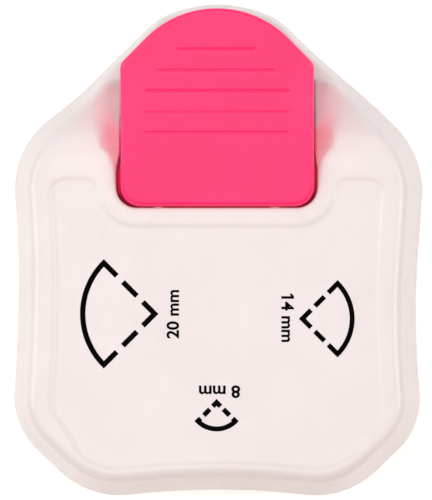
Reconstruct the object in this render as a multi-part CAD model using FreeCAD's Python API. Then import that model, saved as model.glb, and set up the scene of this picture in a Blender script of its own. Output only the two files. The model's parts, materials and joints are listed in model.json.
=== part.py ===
import FreeCAD, Part
import os, math
from FreeCAD import Vector

# Three-radius paper corner rounder. Millimetres, +Z up, +Y towards the pressing
# end of the lever (the rear), origin at the centre of the footprint on the table plane.
# Paper goes into one of three thin slots (left 20 mm, right 14 mm, front 8 mm);
# pressing the lever drives one carrier with three punches through a steel die.

os.makedirs("parts", exist_ok=True)

# ------------------------------------------------------------ driving dimensions
# Right half of the body outline at the parting plane, from the middle of the front
# edge round to the rear: (length, radius). Negative radius = hollow, None = straight.
FRONT_MID_Y = -62.905
OUTLINE = [
    (22.6, -190.7),                      # hollow front edge
    (23.3 * math.radians(50.9), 23.3),   # front corner
    (8.3, None),                         # chamfer
    (18.65 * math.radians(50.9), 18.65),
    (50.8, -281.8),                      # hollow side
    (23.3 * math.radians(53.3), 23.3),
    (35.75, None),                       # flank towards the rounded rear
]

# heights
Z_BOT = 1.2              # underside of the bottom plate
BOT_T = 2.0
DECK_UNDER = 12.0        # underside of the deck in the base
DIE_T = 2.5
Z_PAPER = 17.0           # paper plane = top of the die plate
Z_DIE = Z_PAPER - DIE_T
SLOT = 1.6               # paper slot height
Z_SLOT = Z_PAPER + SLOT  # parting plane
GUIDE_T = 2.0
Z_GUIDE = Z_SLOT + GUIDE_T
Z_TOP = 42.0             # flat top of the cover

# shells and plates
WALL = 2.2
BASE_WALL = 3.9
COVER_DRAFT = 5.0        # how far the cover leans in over its height
COVER_EDGE_R = 1.8
BASE_DRAFT = 1.15
BASE_INSET = 0.35        # the base sits this far inside the cover
PLATE_IN = 6.2           # plates sit this far inside the outline
PLATE_REAR_Y = 12.0

# fits, added to a radius or grown around a section
FIT = 0.02
RUN_CLEAR = 0.05
DIE_CLEAR = 0.04

# corner tools: radius -> (paper corner x, y, direction into the apex)
TOOLS = {
    20: (-14.8, -16.2, (1.0, 0.0)),
    14: (21.3, -17.3, (-1.0, 0.0)),
    8: (0.0, -38.4, (0.0, 1.0)),
}
OVERLAP = 1.5            # the blades reach this far past the fence lines

# mechanism
Z_PUNCH = 18.9           # cutting end of the punches
Z_CAR0, Z_CAR1 = 27.0, 31.0
PIVOT_Y, PIVOT_Z, PIN_R = -48.0, 35.4, 2.0
PAD_RECESS = 1.0         # wear pad depth in the carrier, and its rise above it
WEAR_TOP = Z_CAR1 + PAD_RECESS
NOSE_Y, NOSE_R = -20.0, 3.0
NOSE_Z = WEAR_TOP + NOSE_R + RUN_CLEAR
POSTS = {"left": (-23.5, -38.0), "right": (23.5, -38.0), "rear": (0.0, 2.5)}
POST_R, POST_Z0, POST_Z1 = 2.5, 11.2, 30.5
BUSH_R = 4.2
SPRING_R, WIRE_R = 5.2, 0.45
SPRING_SEAT = 1.5        # depth of the spring seats in the carrier
SPRING_GAP = 0.03

# screws: centres (x, y) and radii
HOUSING_SCREWS = [(-33.0, -52.0), (33.0, -52.0), (-43.0, 22.0), (43.0, 22.0)]
PLATE_SCREWS = [(-33.0, -43.5), (33.0, -43.5), (-22.0, 6.5), (22.0, 6.5)]
BRACKET_SCREWS = [(x, y) for x in (-24.3, 24.3) for y in (-51.4, -47.2)]
PUNCH_SCREWS = {20: (-17.5, -16.2), 14: (22.9, -17.3), 8: (0.0, -38.9)}
LEVER_SCREWS = [(x, s) for x in (-8.0, 8.0) for s in (8.5, 26.0)]  # x, along the pad
HOUSING_R, HOUSING_HOLE_R, HOUSING_HEAD_R = 1.5, 1.7, 2.9
SCREW_R, SCREW_HOLE_R, SCREW_HEAD_R = 1.25, 1.35, 2.4   # plates, punches, lever
BRACKET_R = 1.0
HOUSING_SEAT = Z_BOT + 1.6
PUNCH_SEAT = Z_CAR1 - 2.2

FEET = [(-38.0, -42.0), (38.0, -42.0), (-23.0, 39.0), (23.0, 39.0)]
FOOT_R, FOOT_TOP = 5.0, Z_BOT + 1.0

# waste door
DOOR_HW, DOOR_Y0, DOOR_Y1 = 27.8, -49.7, 16.0
DOOR_T, DOOR_GAP, NOTCH_R = 1.8, 0.4, 7.0
RIM_T, RIM_TOP = 1.2, 6.4
HINGE_Y, HINGE_Z, HINGE_R, HINGE_PIN_R = 18.0, 2.8, 1.6, 0.8
KNUCKLES = [(-27.0, -13.0), (-7.0, 7.0), (13.0, 27.0)]   # x ranges
LUG_HALF = 2.2

# lever opening in the cover and the floor of the well under the pad
OPEN_HW, OPEN_Y0, OPEN_Y1 = 25.8, 10.9, 44.0
WELL_Z, WELL_T = 22.3, 1.6
WELL_UNDER = WELL_Z - WELL_T

# lever arms and moulded pad
ARM_X0, ARM_X1 = 14.0, 16.0
LEVER_BUSH_R = 3.0
LEVER_BUSH_X0, LEVER_BUSH_X1 = 13.4, 16.6
PAD_HW, PAD_Y0, PAD_Z0 = 24.7, 11.3, 43.5
PAD_SLOPE = 11.8
PAD_SIN = math.sin(math.radians(PAD_SLOPE))
PAD_COS = math.cos(math.radians(PAD_SLOPE))
PAD_DOME_C, PAD_DOME_R = 35.7, 25.8
PAD_CORNER, PAD_SHOULDER = 5.0, 3.0
PAD_T, SKIRT_T = 2.5, 2.2
GROOVES = [              # y, x from, x to
    (52.0, -10.4, 9.9), (46.6, -15.0, 15.0), (41.4, -18.4, 18.6),
    (36.1, -18.7, 18.6), (30.8, -18.6, 18.4),
]
GROOVE_DEPTH = 0.35


# ------------------------------------------------------------ helpers
def box(x0, y0, z0, x1, y1, z1):
    return Part.makeBox(x1 - x0, y1 - y0, z1 - z0, Vector(x0, y0, z0))


def cyl_z(x, y, z0, z1, radius):
    return Part.makeCylinder(radius, z1 - z0, Vector(x, y, z0))


def cyl_x(x0, x1, y, z, radius):
    return Part.makeCylinder(radius, x1 - x0, Vector(x0, y, z), Vector(1, 0, 0))


def bore_x(y, z, radius):
    """Cutter right across the mechanism."""
    return cyl_x(-40, 40, y, z, radius)


def poly_face(points):
    corners = [Vector(*p) for p in points]
    return Part.Face(Part.makePolygon(corners + [corners[0]]))


def poly_z(points, z0, z1):
    """Prism over a plan polygon."""
    return poly_face([(x, y, z0) for x, y in points]).extrude(Vector(0, 0, z1 - z0))


def poly_x(points, x0, x1):
    """Prism over a side-view polygon of (y, z) points."""
    return poly_face([(x0, y, z) for y, z in points]).extrude(Vector(x1 - x0, 0, 0))


def span(side, near, far):
    """X range between two distances from the centre plane, on side +1 or -1."""
    return sorted((side * near, side * far))


def front_half(y1, z1):
    return box(-80, -90, 0, 80, y1, z1)


def cut(shape, *cutters):
    for cutter in cutters:
        shape = shape.cut(cutter)
    return shape


def fuse(shape, *parts):
    for part in parts:
        shape = shape.fuse(part)
    return shape.removeSplitter()


def fillet_if_valid(shape, radius, edges):
    # guards against a fillet that fails or gives a broken solid: the edge stays square
    try:
        rounded = shape.makeFillet(radius, edges)
        if rounded.isValid() and rounded.Volume > 0:
            return rounded
    except Exception:
        pass
    return shape


def save(name, shape):
    if not isinstance(shape, Part.Compound):
        shape = shape.removeSplitter()
    solids = shape.Solids
    assert solids, name
    out = solids[0] if len(solids) == 1 else Part.makeCompound(solids)
    out.exportStep("parts/%s.step" % name)


def screw(x, y, seat, side, head_r, head_h, shank_r, length):
    """Cross-slotted screw; the head is above its seat for side +1, below for -1."""
    head_end = seat + side * head_h
    head = cyl_z(x, y, *sorted((seat, head_end)), head_r)
    shank = cyl_z(x, y, *sorted((seat, seat - side * length)), shank_r)
    body = fuse(head, shank)
    for half_x, half_y in ((0.35, 1.3), (1.3, 0.35)):
        body = cut(body, box(x - half_x, y - half_y, head_end - 0.6,
                             x + half_x, y + half_y, head_end + 0.6))
    return body


def screws(centres, *sizes):
    return Part.makeCompound([screw(x, y, *sizes) for x, y in centres])


# ------------------------------------------------------------ body outline
def point_on(piece, fraction, inset):
    """Point a fraction along an outline piece, moved towards the inside."""
    x, y, heading, length, radius = piece
    if radius is None:
        x += fraction * length * math.cos(heading)
        y += fraction * length * math.sin(heading)
    else:
        end = heading + fraction * length / radius
        x += radius * (math.sin(end) - math.sin(heading))
        y += radius * (math.cos(heading) - math.cos(end))
        heading = end
    return x - inset * math.sin(heading), y + inset * math.cos(heading)


def outline_pieces():
    """(start x, y, heading, length, radius) of each tangent piece of the right half."""
    pieces = []
    x, y, heading = 0.0, FRONT_MID_Y, 0.0
    for length, radius in OUTLINE:
        pieces.append((x, y, heading, length, radius))
        x, y = point_on(pieces[-1], 1, 0)
        if radius is not None:
            heading += length / radius
    # the rounded rear closes on the centre line with its tangent along X
    rear_r = x / math.sin(heading)
    pieces.append((x, y, heading, rear_r * (math.pi - heading), rear_r))
    return pieces


PIECES = outline_pieces()


def outline(inset, z):
    """Closed wire of the body outline at height z."""
    edges = []
    for side in (1, -1):
        for piece in PIECES:
            ends = [point_on(piece, f, inset) for f in (0, 0.5, 1)]
            start, middle, end = (Vector(side * x, y, z) for x, y in ends)
            if piece[4] is None:
                edges.append(Part.makeLine(start, end))
            else:
                edges.append(Part.Arc(start, middle, end).toShape())
    return Part.Wire(Part.__sortEdges__(edges))


def body_prism(inset, z0, z1):
    return Part.Face(outline(inset, z0)).extrude(Vector(0, 0, z1 - z0))


def body_taper(inset0, z0, inset1, z1):
    return Part.makeLoft([outline(inset0, z0), outline(inset1, z1)], True, True)


# ------------------------------------------------------------ corner tool shapes
def tool(radius, grow, z0, z1):
    """Blade, grown all round: a square on the paper corner less the corner's disc."""
    apex_x, apex_y, (dx, dy) = TOOLS[radius]
    disc_x = apex_x - dx * radius * math.sqrt(2)
    disc_y = apex_y - dy * radius * math.sqrt(2)
    half = (radius + OVERLAP) / math.sqrt(2)
    reach = half + grow * math.sqrt(2)
    x, y = disc_x + dx * half, disc_y + dy * half
    square = poly_face([(x + reach, y, z0), (x, y + reach, z0),
                        (x - reach, y, z0), (x, y - reach, z0)])
    circle = Part.makeCircle(radius - grow, Vector(disc_x, disc_y, z0))
    section = square.cut(Part.Face(Part.Wire(circle)))
    return section.extrude(Vector(0, 0, z1 - z0))


def vee(radius, z0, z1):
    """The wedge of paper that enters a slot, opening outwards at 90 degrees."""
    apex_x, apex_y, (dx, dy) = TOOLS[radius]
    far = 70.0
    x, y = apex_x - dx * far, apex_y - dy * far
    return poly_z([(apex_x, apex_y), (x - dy * far, y + dx * far),
                   (x + dy * far, y - dx * far)], z0, z1)


# ------------------------------------------------------------ base shell
def base_shell():
    base = body_taper(BASE_DRAFT + BASE_INSET, Z_BOT, BASE_INSET, Z_SLOT)
    base = cut(base, body_prism(BASE_WALL, -1, DECK_UNDER))
    rear_half = box(-80, PLATE_REAR_Y + 2.0, -2, 80, 90, 30)
    base = cut(base, body_prism(BASE_WALL, -1, 20).common(rear_half))
    plate_bed = body_prism(PLATE_IN - 0.2, Z_DIE, 20)
    base = cut(base, plate_bed.common(front_half(PLATE_REAR_Y + 0.3, 30)))
    for radius in TOOLS:
        base = cut(base, vee(radius, Z_PAPER, 20), tool(radius, 1.2, DECK_UNDER - 1, Z_PAPER))
    boss_z = Z_BOT + BOT_T + 0.1
    for x, y in HOUSING_SCREWS:
        base = fuse(base, cyl_z(x, y, boss_z, Z_DIE if y < 0 else Z_SLOT, 4.2))
        if y > 0:   # rib from the rear boss out to the wall
            x0, x1 = span(1, x, x * 1.14)
            base = fuse(base, box(x0, y - 1, boss_z, x1, y + 1, Z_SLOT))
    for x, y in HOUSING_SCREWS:
        base = cut(base, cyl_z(x, y, 0, 20, HOUSING_HOLE_R))
    for x, y in POSTS.values():
        base = fuse(base, cyl_z(x, y, 9.0, DECK_UNDER + 0.5, 4.0))
        base = cut(base, cyl_z(x, y, 11.0, 20, POST_R + FIT))
    for x, y in PLATE_SCREWS:
        base = fuse(base, cyl_z(x, y, 9.0, DECK_UNDER + 0.5, 3.2))
        base = cut(base, cyl_z(x, y, 8.0, 20, SCREW_R + FIT))
    return base


# ------------------------------------------------------------ bottom plate, door and feet
def bottom_plate():
    """Plate with the door opening and the two hinge lugs."""
    bottom = body_prism(4.1, Z_BOT, Z_BOT + BOT_T)
    half_x, front_y = DOOR_HW + DOOR_GAP, DOOR_Y0 - DOOR_GAP
    bottom = cut(bottom, box(-half_x, front_y, 0, half_x, HINGE_Y + LUG_HALF, 8))
    bottom = cut(bottom, cyl_z(0, front_y, 0, Z_BOT + 1.1, NOTCH_R))
    for x, y in HOUSING_SCREWS:
        bottom = cut(bottom, cyl_z(x, y, 0, HOUSING_SEAT, HOUSING_HEAD_R + 0.05),
                     cyl_z(x, y, 0, 8, HOUSING_HOLE_R))
    for x, y in FEET:
        bottom = cut(bottom, cyl_z(x, y, 0, FOOT_TOP, FOOT_R + 0.05))
    for side in (1, -1):
        x0, x1 = span(side, DOOR_HW + 0.7, DOOR_HW + 4.2)
        bottom = fuse(bottom, box(x0, HINGE_Y - LUG_HALF, Z_BOT,
                                  x1, HINGE_Y + LUG_HALF, HINGE_Z + 2.0))
    pin_end = DOOR_HW + 3.6
    return cut(bottom, cyl_x(-pin_end, pin_end, HINGE_Y, HINGE_Z, HINGE_PIN_R + FIT))


def door_rim_box(inset, z0, z1):
    half_x = DOOR_HW - 0.8 - inset
    return box(-half_x, DOOR_Y0 + 5.0 + inset, z0, half_x, DOOR_Y1 - 1.2 - inset, z1)


def waste_door():
    """Door hinged at its rear edge, with an upstanding rim inside."""
    door = box(-DOOR_HW, DOOR_Y0, Z_BOT, DOOR_HW, DOOR_Y1, Z_BOT + DOOR_T)
    door = cut(door, cyl_z(0, DOOR_Y0 - 3.6, 0, 8, NOTCH_R))
    rim = cut(door_rim_box(0, Z_BOT + 1.0, RIM_TOP), door_rim_box(RIM_T, 0, 8))
    door = fuse(door, rim)
    for x0, x1 in KNUCKLES:
        door = fuse(door, cyl_x(x0, x1, HINGE_Y, HINGE_Z, HINGE_R),
                    box(x0, DOOR_Y1 - 1.0, Z_BOT, x1, HINGE_Y, Z_BOT + DOOR_T))
    return cut(door, bore_x(HINGE_Y, HINGE_Z, HINGE_PIN_R + RUN_CLEAR))


def door_hinge_pin():
    half = DOOR_HW + 3.4
    return cyl_x(-half, half, HINGE_Y, HINGE_Z, HINGE_PIN_R)


def rubber_feet():
    return Part.makeCompound([cyl_z(x, y, 0, FOOT_TOP, FOOT_R) for x, y in FEET])


# ------------------------------------------------------------ top cover
def fall(drop, shift):
    """Everything above the cover's rear side profile, lowered and moved along Y."""
    profile = [(23.0, Z_TOP), (27.09, 41.39), (30.83, 39.61), (37.5, 35.11),
               (39.94, 33.76), (42.58, 32.85), (OPEN_Y1, 32.5), (OPEN_Y1, 27.84)]
    p = [Vector(0, y + shift, z - drop) for y, z in profile]
    edges = [Part.Arc(p[0], p[1], p[2]).toShape(), Part.makeLine(p[2], p[3]),
             Part.Arc(p[3], p[4], p[5]).toShape(), Part.makeLine(p[5], p[6]),
             Part.makeLine(p[6], p[7])]
    closing = [p[7], Vector(0, 75, 23.2 - drop), Vector(0, 75, 60),
               Vector(0, 23.0 + shift, 60), p[0]]
    edges += [Part.makeLine(a, b) for a, b in zip(closing, closing[1:])]
    face = Part.Face(Part.Wire(edges))
    face.translate(Vector(-70, 0, 0))
    return face.extrude(Vector(140, 0, 0))


def ear(side, drop, grow):
    """Space above the inclined face beside the lever, which slopes down to the lever."""
    x0, x1 = OPEN_HW - 1.0 - grow, OPEN_HW + 5.4 + grow
    break_y = 39.0       # the face runs flatter behind this

    def corner(x, y):
        steep = min(y, break_y)
        z = Z_TOP - 0.6745 * (steep - 24.0) - 0.30 * (y - steep) + 0.6 * (x - OPEN_HW) - drop
        return side * x, y, z

    return fuse(*[
        poly_face([corner(x0, y0), corner(x1, y0), corner(x1, y1), corner(x0, y1)])
        .extrude(Vector(0, 0, 40))
        for y0, y1 in ((20.0, break_y), (break_y, 43.9))])


def top_cover():
    cover = body_taper(0.0, Z_SLOT, COVER_DRAFT, Z_TOP)
    top_edges = [e for e in cover.Edges if e.BoundBox.ZMin > Z_TOP - 0.01]
    cover = fillet_if_valid(cover, COVER_EDGE_R, top_edges)
    cover = cut(cover, fall(0, 0), ear(1, 0, 0), ear(-1, 0, 0))
    inner = body_taper(WALL, Z_SLOT - 0.01, COVER_DRAFT + WALL, Z_TOP - WALL)
    inner = cut(inner, fall(WALL + 0.6, -1.6), ear(1, 2.4, 0.8), ear(-1, 2.4, 0.8))
    shell = cut(cover, inner)
    # walls that line the lever opening, following the fall, and its floor
    wall_x, wall_y = OPEN_HW + WELL_T, OPEN_Y1 + WELL_T
    for side in (1, -1):
        x0, x1 = span(side, OPEN_HW - 0.5, wall_x)
        shell = fuse(shell, box(x0, OPEN_Y0 - 1, WELL_UNDER, x1, wall_y, Z_TOP).common(cover))
    rear_wall = box(-wall_x, OPEN_Y1 - 0.5, WELL_UNDER, wall_x, wall_y, 30)
    shell = fuse(shell, rear_wall.common(cover))
    shell = fuse(shell, box(-wall_x, PLATE_REAR_Y + 1.5, WELL_UNDER, wall_x, wall_y, WELL_Z))
    shell = cut(shell, box(-OPEN_HW, OPEN_Y0, WELL_Z, OPEN_HW, OPEN_Y1, 50))
    for x, y in HOUSING_SCREWS:
        boss_z = Z_GUIDE + 0.05 if y < 0 else Z_SLOT + 0.02
        shell = fuse(shell, cyl_z(x, y, boss_z, 41.0, 4.0).common(cover))
        shell = cut(shell, cyl_z(x, y, 10, 35.0, HOUSING_R + FIT))
    return shell


# ------------------------------------------------------------ steel plates
def plate(z0, z1):
    return body_prism(PLATE_IN, z0, z1).common(front_half(PLATE_REAR_Y, 60))


def drill(shape):
    """Holes shared by all plates: posts, plate screws, front housing screws."""
    for centres, radius in ((POSTS.values(), POST_R + FIT), (PLATE_SCREWS, SCREW_HOLE_R),
                            (HOUSING_SCREWS[:2], HOUSING_HOLE_R)):
        for x, y in centres:
            shape = cut(shape, cyl_z(x, y, 10, 30, radius))
    return shape


def die_plate():
    die = plate(Z_DIE, Z_PAPER)
    for radius in TOOLS:
        die = cut(die, tool(radius, DIE_CLEAR, 10, 20))
    return drill(die)


def fence_plate():
    """Spacer between die and guide; its wedges stop the paper edges."""
    fence = plate(Z_PAPER, Z_SLOT)
    for radius in TOOLS:
        fence = cut(fence, vee(radius, 10, 20), tool(radius, 0.4, 10, 20))
    return drill(fence)


def guide_plate():
    guide = plate(Z_SLOT, Z_GUIDE)
    for radius in TOOLS:
        guide = cut(guide, tool(radius, DIE_CLEAR, 10, 30))
    guide = drill(guide)
    for x, y in BRACKET_SCREWS:
        guide = cut(guide, cyl_z(x, y, 10, 30, BRACKET_R + FIT))
    return guide


# ------------------------------------------------------------ guide posts and springs
def guide_post(x, y):
    post = cyl_z(x, y, POST_Z0, POST_Z1, POST_R)
    top = [e for e in post.Edges if abs(e.BoundBox.ZMin - POST_Z1) < 1e-6
           and abs(e.BoundBox.ZMax - POST_Z1) < 1e-6]
    return post.makeChamfer(0.5, top)


def return_spring(x, y):
    """Three turns, each of two half rings tilted opposite ways so that they run on smoothly."""
    z0 = Z_GUIDE + WIRE_R + SPRING_GAP
    z1 = Z_CAR0 + SPRING_SEAT - WIRE_R - SPRING_GAP
    step = (z1 - z0) / 6.0
    ring_r = math.hypot(SPRING_R, step / 2.0)
    lean = math.degrees(math.atan2(step / 2.0, SPRING_R))
    origin, up = Vector(0, 0, 0), Vector(0, 0, 1)
    halves = []
    for i in range(6):
        wire = Part.Wire(Part.makeCircle(WIRE_R, Vector(ring_r, 0, 0), Vector(0, 1, 0)))
        half = Part.Face(wire).revolve(origin, up, 180)
        half.rotate(origin, Vector(0, 1, 0), lean)
        half.rotate(origin, up, 180.0 * i)
        half.translate(Vector(x, y, z0 + step * (i + 0.5)))
        halves.append(half)
    return halves[0].fuse(halves[1:]).Solids[0]


# ------------------------------------------------------------ punches and carrier
def punch(radius):
    x, y = PUNCH_SCREWS[radius]
    blade = tool(radius, 0.0, Z_PUNCH, Z_CAR0)
    return cut(blade, cyl_z(x, y, Z_CAR0 - 5.5, Z_CAR0 + 1, SCREW_R + FIT))


def wear_pad(grow, top):
    """Block under the press pin; grown, it cuts its own recess."""
    half_x, half_y = 11.0 + grow, 5.0 + grow
    return box(-half_x, NOSE_Y - half_y, Z_CAR1 - PAD_RECESS, half_x, NOSE_Y + half_y, top)


def punch_carrier():
    def slab(x0, y0, x1, y1):
        return box(x0, y0, Z_CAR0, x1, y1, Z_CAR1)

    left, right, rear = -31, 33.5, 1.0
    front_hw, front = 30, -42.5
    carrier = fuse(slab(left, -33.5, right, rear), slab(-front_hw, front, front_hw, -33.0),
                   slab(-10, -45.6, 10, -42.0))
    rear_x, rear_y = POSTS["rear"]
    carrier = fuse(carrier, slab(-8, 0, 8, 5.0), cyl_z(rear_x, rear_y, Z_CAR0, Z_CAR1, 7.6))
    for x, y in ((front_hw, front), (-front_hw, front), (left, rear), (right, rear)):
        corner = [e for e in carrier.Edges if len(e.Vertexes) == 2
                  and all(abs(v.X - x) < 1e-4 and abs(v.Y - y) < 1e-4 for v in e.Vertexes)]
        carrier = fillet_if_valid(carrier, 2.5, corner)
    for x, y in POSTS.values():
        carrier = cut(carrier, cyl_z(x, y, 20, 40, BUSH_R + FIT),
                      cyl_z(x, y, 20, Z_CAR0 + SPRING_SEAT, 6.4))
    for x, y in PUNCH_SCREWS.values():
        carrier = cut(carrier, cyl_z(x, y, 20, 40, SCREW_HOLE_R),
                      cyl_z(x, y, PUNCH_SEAT, 40, SCREW_HEAD_R + 0.1))
    carrier = cut(carrier, wear_pad(0.1, 40))
    for side in (1, -1):     # lightening holes
        carrier = cut(carrier, cyl_z(side * 6.0, -29.5, 20, 40, 2.6))
    return carrier


def carrier_bushes():
    return Part.makeCompound([
        cut(cyl_z(x, y, 25.2, Z_CAR1, BUSH_R), cyl_z(x, y, 20, 40, POST_R + RUN_CLEAR))
        for x, y in POSTS.values()])


# ------------------------------------------------------------ pivot
BRACKET_X0, BRACKET_X1, BRACKET_FOOT_X = 17.3, 19.8, 28.3
BRACKET_Y0, BRACKET_Y1 = -54.0, -44.5
BRACKET_FOOT_TOP = Z_GUIDE + 2.0


def pivot_bracket(side):
    upright = poly_x([(BRACKET_Y0, Z_GUIDE), (BRACKET_Y1, Z_GUIDE), (BRACKET_Y1, 31.0),
                      (-43.4, 32.4), (-43.4, 37.4), (-45.4, 39.4), (-50.6, 39.4),
                      (BRACKET_Y0, 34.0)], *span(side, BRACKET_X0, BRACKET_X1))
    x0, x1 = span(side, BRACKET_X0, BRACKET_FOOT_X)
    foot = box(x0, BRACKET_Y0, Z_GUIDE, x1, BRACKET_Y1, BRACKET_FOOT_TOP)
    bracket = fuse(upright, foot)
    bracket = cut(bracket, bore_x(PIVOT_Y, PIVOT_Z, PIN_R + FIT))
    for x, y in BRACKET_SCREWS:
        bracket = cut(bracket, cyl_z(x, y, 10, 30, BRACKET_R + 0.1))
    return bracket


def lever_pivot_pin():
    pin = cyl_x(-22.2, 22.2, PIVOT_Y, PIVOT_Z, PIN_R)
    return pin.makeChamfer(0.4, [e for e in pin.Edges if e.BoundBox.XLength < 1e-6])


def pivot_clips():
    """Rings on the pin ends, open at the bottom."""
    return Part.makeCompound([
        cut(cyl_x(*span(side, 20.0, 20.8), PIVOT_Y, PIVOT_Z, 3.6),
            bore_x(PIVOT_Y, PIVOT_Z, PIN_R + 0.01),
            box(-40, PIVOT_Y - 1.0, PIVOT_Z - 6, 40, PIVOT_Y + 1.0, PIVOT_Z - 1.6))
        for side in (1, -1)])


# ------------------------------------------------------------ lever: steel frame
def tilt(shape):
    """From pad coordinates (x, along the top, off the top) to the body frame."""
    shape.rotate(Vector(0, 0, 0), Vector(1, 0, 0), PAD_SLOPE)
    shape.translate(Vector(0, PAD_Y0, PAD_Z0))
    return shape


def top_z(y):
    """Height of the pad's sloping top."""
    return PAD_Z0 + (y - PAD_Y0) * PAD_SIN / PAD_COS


def lever_frame():
    """Two side arms joined by a web under the pad."""
    rear, under_top = 43.3, 5.6
    profile = [(PIVOT_Y, 31.25), (NOSE_Y, 31.9), (0.0, 34.5), (12.5, 34.5), (rear, 38.4),
               (rear, top_z(rear) - under_top), (14.4, top_z(14.4) - under_top),
               (13.6, 39.4), (PIVOT_Y, 39.55)]
    arms = []
    for side in (1, -1):
        x0, x1 = span(side, ARM_X0, ARM_X1)
        arms.append(fuse(poly_x(profile, x0, x1), cyl_x(x0, x1, PIVOT_Y, PIVOT_Z, 4.15)))
    web = tilt(box(-ARM_X0 - 0.5, 4.0, -9.5, ARM_X0 + 0.5, 31.0, -7.55))
    lever = fuse(arms[0], arms[1], web)
    lever = cut(lever, bore_x(PIVOT_Y, PIVOT_Z, LEVER_BUSH_R + FIT),
                bore_x(NOSE_Y, NOSE_Z, NOSE_R + FIT))
    for x, along in LEVER_SCREWS:
        lever = cut(lever, tilt(cyl_z(x, along, -20, 0, 1.4)))
    return lever


def lever_bushes():
    return Part.makeCompound([
        cut(cyl_x(*span(side, LEVER_BUSH_X0, LEVER_BUSH_X1), PIVOT_Y, PIVOT_Z, LEVER_BUSH_R),
            bore_x(PIVOT_Y, PIVOT_Z, PIN_R + RUN_CLEAR))
        for side in (1, -1)])


def lever_screws():
    return Part.makeCompound([
        tilt(screw(x, along, -9.52, -1, SCREW_HEAD_R, 1.6, SCREW_R, 5.6))
        for x, along in LEVER_SCREWS])


# ------------------------------------------------------------ lever: moulded thumb pad
def pad_wire(inset, z):
    """Plan of the pad: rounded rear, 45 degree flanks, small shoulders, straight sides."""
    half_x, front = PAD_HW - inset, PAD_Y0 + inset
    corner_r, shoulder_r = PAD_CORNER - inset, PAD_SHOULDER - inset
    dome_r = PAD_DOME_R - inset
    diag = math.sqrt(0.5)
    turn = math.radians(22.5)
    dome_end = (dome_r * diag, PAD_DOME_C + dome_r * diag)
    meet_y = sum(reversed(dome_end)) - half_x    # where the flank would meet the side
    tangent = shoulder_r * math.tan(turn)
    flank_end = (half_x - tangent * diag, meet_y + tangent * diag)
    side_end = (half_x, meet_y - tangent)
    shoulder_mid = (half_x - shoulder_r + shoulder_r * math.cos(turn),
                    meet_y - tangent + shoulder_r * math.sin(turn))
    side_start, front_end = (half_x, front + corner_r), (half_x - corner_r, front)
    corner_mid = (half_x - corner_r + corner_r * diag, front + corner_r - corner_r * diag)

    def at(side, point):
        return Vector(side * point[0], point[1], z)

    def arc(*points):
        return Part.Arc(*points).toShape()

    edges = [Part.makeLine(at(-1, front_end), at(1, front_end)),
             arc(at(-1, dome_end), Vector(0, PAD_DOME_C + dome_r, z), at(1, dome_end))]
    for side in (1, -1):
        edges += [arc(at(side, front_end), at(side, corner_mid), at(side, side_start)),
                  Part.makeLine(at(side, side_start), at(side, side_end)),
                  arc(at(side, side_end), at(side, shoulder_mid), at(side, flank_end)),
                  Part.makeLine(at(side, flank_end), at(side, dome_end))]
    return Part.Wire(Part.__sortEdges__(edges))


def pad_block(inset, side_view):
    """Pad plan extruded up, kept within a side-view polygon."""
    block = Part.Face(pad_wire(inset, 15)).extrude(Vector(0, 0, 55))
    return block.common(poly_x(side_view, -40, 40))


def thumb_lever():
    pad = pad_block(0.0, [(5.0, 33.4), (40.6, 36.6), (43.6, 42.7), (70.0, 42.1),
                          (70.0, top_z(70.0)), (5.0, top_z(5.0))])
    top_edges = [e for e in pad.Edges if len(e.Vertexes) == 2
                 and all(abs(v.Z - top_z(v.Y)) < 1e-4 for v in e.Vertexes)]
    pad = fillet_if_valid(pad, 1.2, top_edges)
    top_t = PAD_T / PAD_COS
    pad = cut(pad, pad_block(SKIRT_T, [(0, 10), (75, 10), (75, top_z(75) - top_t),
                                       (0, top_z(0) - top_t)]))
    for side in (1, -1):     # slots in the front skirt for the arms
        x0, x1 = span(side, ARM_X0 - 0.3, ARM_X1 + 0.3)
        pad = cut(pad, box(x0, 5, 20, x1, PAD_Y0 + SKIRT_T + 0.6, 39.8))
    for x, along in LEVER_SCREWS:
        pad = fuse(pad, tilt(cyl_z(x, along, -7.5, -PAD_T + 0.2, 3.2)))
        pad = cut(pad, tilt(cyl_z(x, along, -9.0, -3.6, SCREW_R + FIT)))
    for y, x0, x1 in GROOVES:
        along = (y - PAD_Y0) / PAD_COS
        pad = cut(pad, tilt(poly_x([(along + 0.4, 0.6), (along + 0.4, -GROOVE_DEPTH),
                                    (along - 0.1, -GROOVE_DEPTH), (along - 1.2, 0.6)], x0, x1)))
    return pad


# ------------------------------------------------------------ write the pieces
for build in (base_shell, bottom_plate, waste_door, door_hinge_pin, rubber_feet, top_cover,
              die_plate, fence_plate, guide_plate, punch_carrier, carrier_bushes,
              lever_pivot_pin, pivot_clips, lever_frame, lever_bushes, lever_screws,
              thumb_lever):
    save(build.__name__, build())
for place, (x, y) in POSTS.items():
    save("guide_post_" + place, guide_post(x, y))
    save("return_spring_" + place, return_spring(x, y))
for radius in TOOLS:
    save("punch_%dmm" % radius, punch(radius))
for place, side in (("right", 1), ("left", -1)):
    save("pivot_bracket_" + place, pivot_bracket(side))
save("wear_pad", wear_pad(0, WEAR_TOP))
save("press_pin", cyl_x(-LEVER_BUSH_X1, LEVER_BUSH_X1, NOSE_Y, NOSE_Z, NOSE_R))
# seat height, head side, head radius and height, shank radius and length
save("punch_screws", screws(PUNCH_SCREWS.values(), PUNCH_SEAT, 1, SCREW_HEAD_R, 1.9,
                            SCREW_R, 7.0))
save("plate_screws", screws(PLATE_SCREWS, Z_GUIDE, 1, SCREW_HEAD_R, 1.7, SCREW_R, 11.0))
save("housing_screws", screws(HOUSING_SCREWS, HOUSING_SEAT, -1, HOUSING_HEAD_R, 1.4,
                              HOUSING_R, 30.0))
save("bracket_screws", screws(BRACKET_SCREWS, BRACKET_FOOT_TOP, 1, 1.9, 1.3, BRACKET_R, 4.0))
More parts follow.
